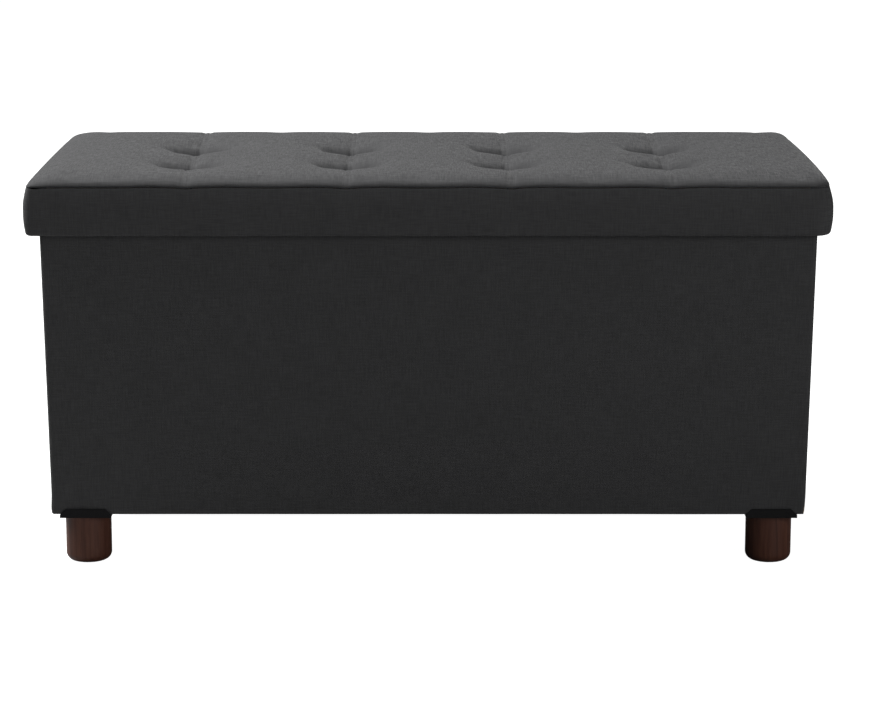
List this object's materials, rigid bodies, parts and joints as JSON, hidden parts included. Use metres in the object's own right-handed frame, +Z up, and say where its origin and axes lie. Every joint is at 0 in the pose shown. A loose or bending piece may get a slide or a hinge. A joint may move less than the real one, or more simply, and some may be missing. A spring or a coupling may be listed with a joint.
{
  "type": "storage ottoman",
  "caption": "Long upholstered storage ottoman bench with a tufted lift-off lid, a loose floor board and short turned wooden feet.",
  "frame": {"origin": "on the floor, below the middle of the object", "axes": "+X along the length, -Y the front, +Z up"},
  "size_m": [0.76, 0.38, 0.38],
  "materials": {
    "charcoal_fabric": "linen-look woven, matt",
    "black_nonwoven": "spun non-woven, matt",
    "fibreboard": "raw fibreboard",
    "foam": "cut foam",
    "wadding": "polyester wadding",
    "walnut": "dark walnut stain, satin",
    "black_steel": "black powder coat",
    "zinc_steel": "zinc plated",
    "black_plastic": "moulded",
    "black_twine": "waxed twine",
    "black_ribbon": "grosgrain ribbon"
  },
  "bodies": {
    "box": {"front_panel": "fibreboard", "back_panel": "fibreboard", "left_front_panel": "fibreboard", "left_rear_panel": "fibreboard", "right_front_panel": "fibreboard", "right_rear_panel": "fibreboard", "box_cover": "charcoal_fabric", "box_lining": "black_nonwoven", "base_cloth": "black_nonwoven", "foot_front_left": "walnut", "foot_front_right": "walnut", "foot_rear_left": "walnut", "foot_rear_right": "walnut", "foot_mount_front_left": "black_steel", "foot_mount_front_right": "black_steel", "foot_mount_rear_left": "black_steel", "foot_mount_rear_right": "black_steel", "foot_bolts": "zinc_steel", "foot_bolt_washers": "zinc_steel", "foot_inserts": "zinc_steel", "mount_screws": "zinc_steel"},
    "lid": {"lid_board": "fibreboard", "lid_skirt_front": "fibreboard", "lid_skirt_back": "fibreboard", "lid_skirt_left": "fibreboard", "lid_skirt_right": "fibreboard", "lid_pad": "foam", "lid_top_cover": "charcoal_fabric", "lid_edge_seam": "charcoal_fabric", "lid_side_cover": "charcoal_fabric", "lid_side_padding": "wadding", "lid_lining": "black_nonwoven", "tuft_twines": "black_twine", "tuft_anchors": "black_plastic"},
    "floor_board_body": {"floor_board": "fibreboard", "floor_board_cover": "black_nonwoven", "floor_board_tab": "black_ribbon"}
  },
  "joints": [
    {"name": "lid_lift", "type": "slide", "parent": "box", "child": "lid", "axis": [0, 0, 1], "range_m": [0, 0.4]},
    {"name": "floor_board_lift", "type": "slide", "parent": "box", "child": "floor_board_body", "axis": [0, 0, 1], "range_m": [0, 0.27]}
  ]
}
